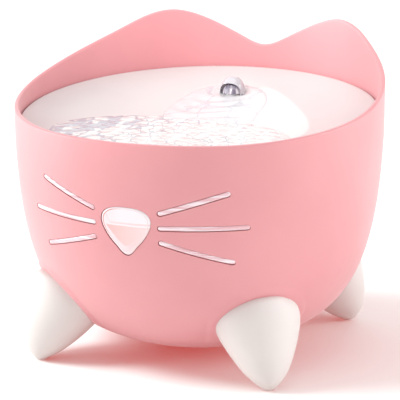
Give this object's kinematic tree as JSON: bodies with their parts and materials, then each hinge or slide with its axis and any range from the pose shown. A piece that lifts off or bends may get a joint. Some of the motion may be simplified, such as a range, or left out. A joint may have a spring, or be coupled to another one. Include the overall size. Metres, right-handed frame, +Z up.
{
  "type": "pet water fountain",
  "caption": "Round pet water fountain with a cat-ear rim, claw feet, a lift-out drinking tray with a spout, a filter under the tray and a submerged pump.",
  "frame": {"origin": "on the floor, under the middle of the bowl", "axes": "+Z up, -Y towards the front where the nose window is, +X to the right seen from the front"},
  "size_m": [0.236, 0.2363, 0.2008],
  "materials": {
    "pink_plastic": "satin moulded ABS, soft pink",
    "foot_plastic": "fine matte moulded plastic, warm white",
    "white_plastic": "polished white plastic",
    "clear_plastic": "clear polished plastic",
    "grey_plastic": "plain moulded plastic",
    "black_plastic": "moulded, fine texture",
    "impeller_plastic": "plain moulded plastic",
    "silicone": "translucent silicone rubber",
    "white_rubber": "soft white rubber",
    "foam": "open-cell white foam",
    "felt": "white needle felt",
    "granules": "carbon granules in a mesh bag",
    "screw_steel": "stainless steel",
    "core_steel": "stacked laminations",
    "copper_coil": "enamelled copper wire",
    "magnet": "ferrite",
    "shaft_ceramic": "ground ceramic"
  },
  "bodies": {
    "bowl": {"bowl_shell": "pink_plastic", "nose_window": "clear_plastic", "nose_gasket": "silicone", "foot_screws": "screw_steel", "pump_housing": "black_plastic", "pump_end_cap": "black_plastic", "stator_core": "core_steel", "stator_coil": "copper_coil", "pump_shaft": "shaft_ceramic", "shaft_bushes": "silicone", "impeller_cover": "black_plastic", "intake_strainer": "black_plastic", "intake_sponge": "foam", "suction_cups": "silicone", "lead_gland": "white_rubber", "pump_lead": "white_rubber", "foot_front_right": "foot_plastic", "foot_pad_front_right": "white_rubber", "foot_front_left": "foot_plastic", "foot_pad_front_left": "white_rubber", "foot_rear_right": "foot_plastic", "foot_pad_rear_right": "white_rubber", "foot_rear_left": "foot_plastic", "foot_pad_rear_left": "white_rubber", "whisker_upper_left": "clear_plastic", "whisker_upper_right": "clear_plastic", "whisker_middle_left": "clear_plastic", "whisker_middle_right": "clear_plastic", "whisker_lower_left": "clear_plastic", "whisker_lower_right": "clear_plastic"},
    "tray": {"drinking_tray": "white_plastic", "riser_tube": "grey_plastic", "riser_boot": "silicone"},
    "filter": {"filter_basket": "grey_plastic", "filter_frame": "grey_plastic", "filter_foam": "foam", "filter_granules": "granules", "filter_felt": "felt"},
    "spout": {"spout_cap": "white_plastic"},
    "rotor": {"impeller": "impeller_plastic", "rotor_magnet": "magnet"}
  },
  "joints": [
    {"name": "tray_lift", "type": "slide", "parent": "bowl", "child": "tray", "axis": [0, 0, 1], "range_m": [0, 0.155]},
    {"name": "filter_drop", "type": "slide", "parent": "tray", "child": "filter", "axis": [0, 0, -1], "range_m": [0, 0.012]},
    {"name": "spout_cap_lift", "type": "slide", "parent": "tray", "child": "spout", "axis": [0, 0, 1], "range_m": [0, 0.05]},
    {"name": "impeller_spin", "type": "hinge", "parent": "bowl", "child": "rotor", "pos_m": [0, 0.05, 0.0415], "axis": [0, 1, 0], "continuous": true}
  ]
}
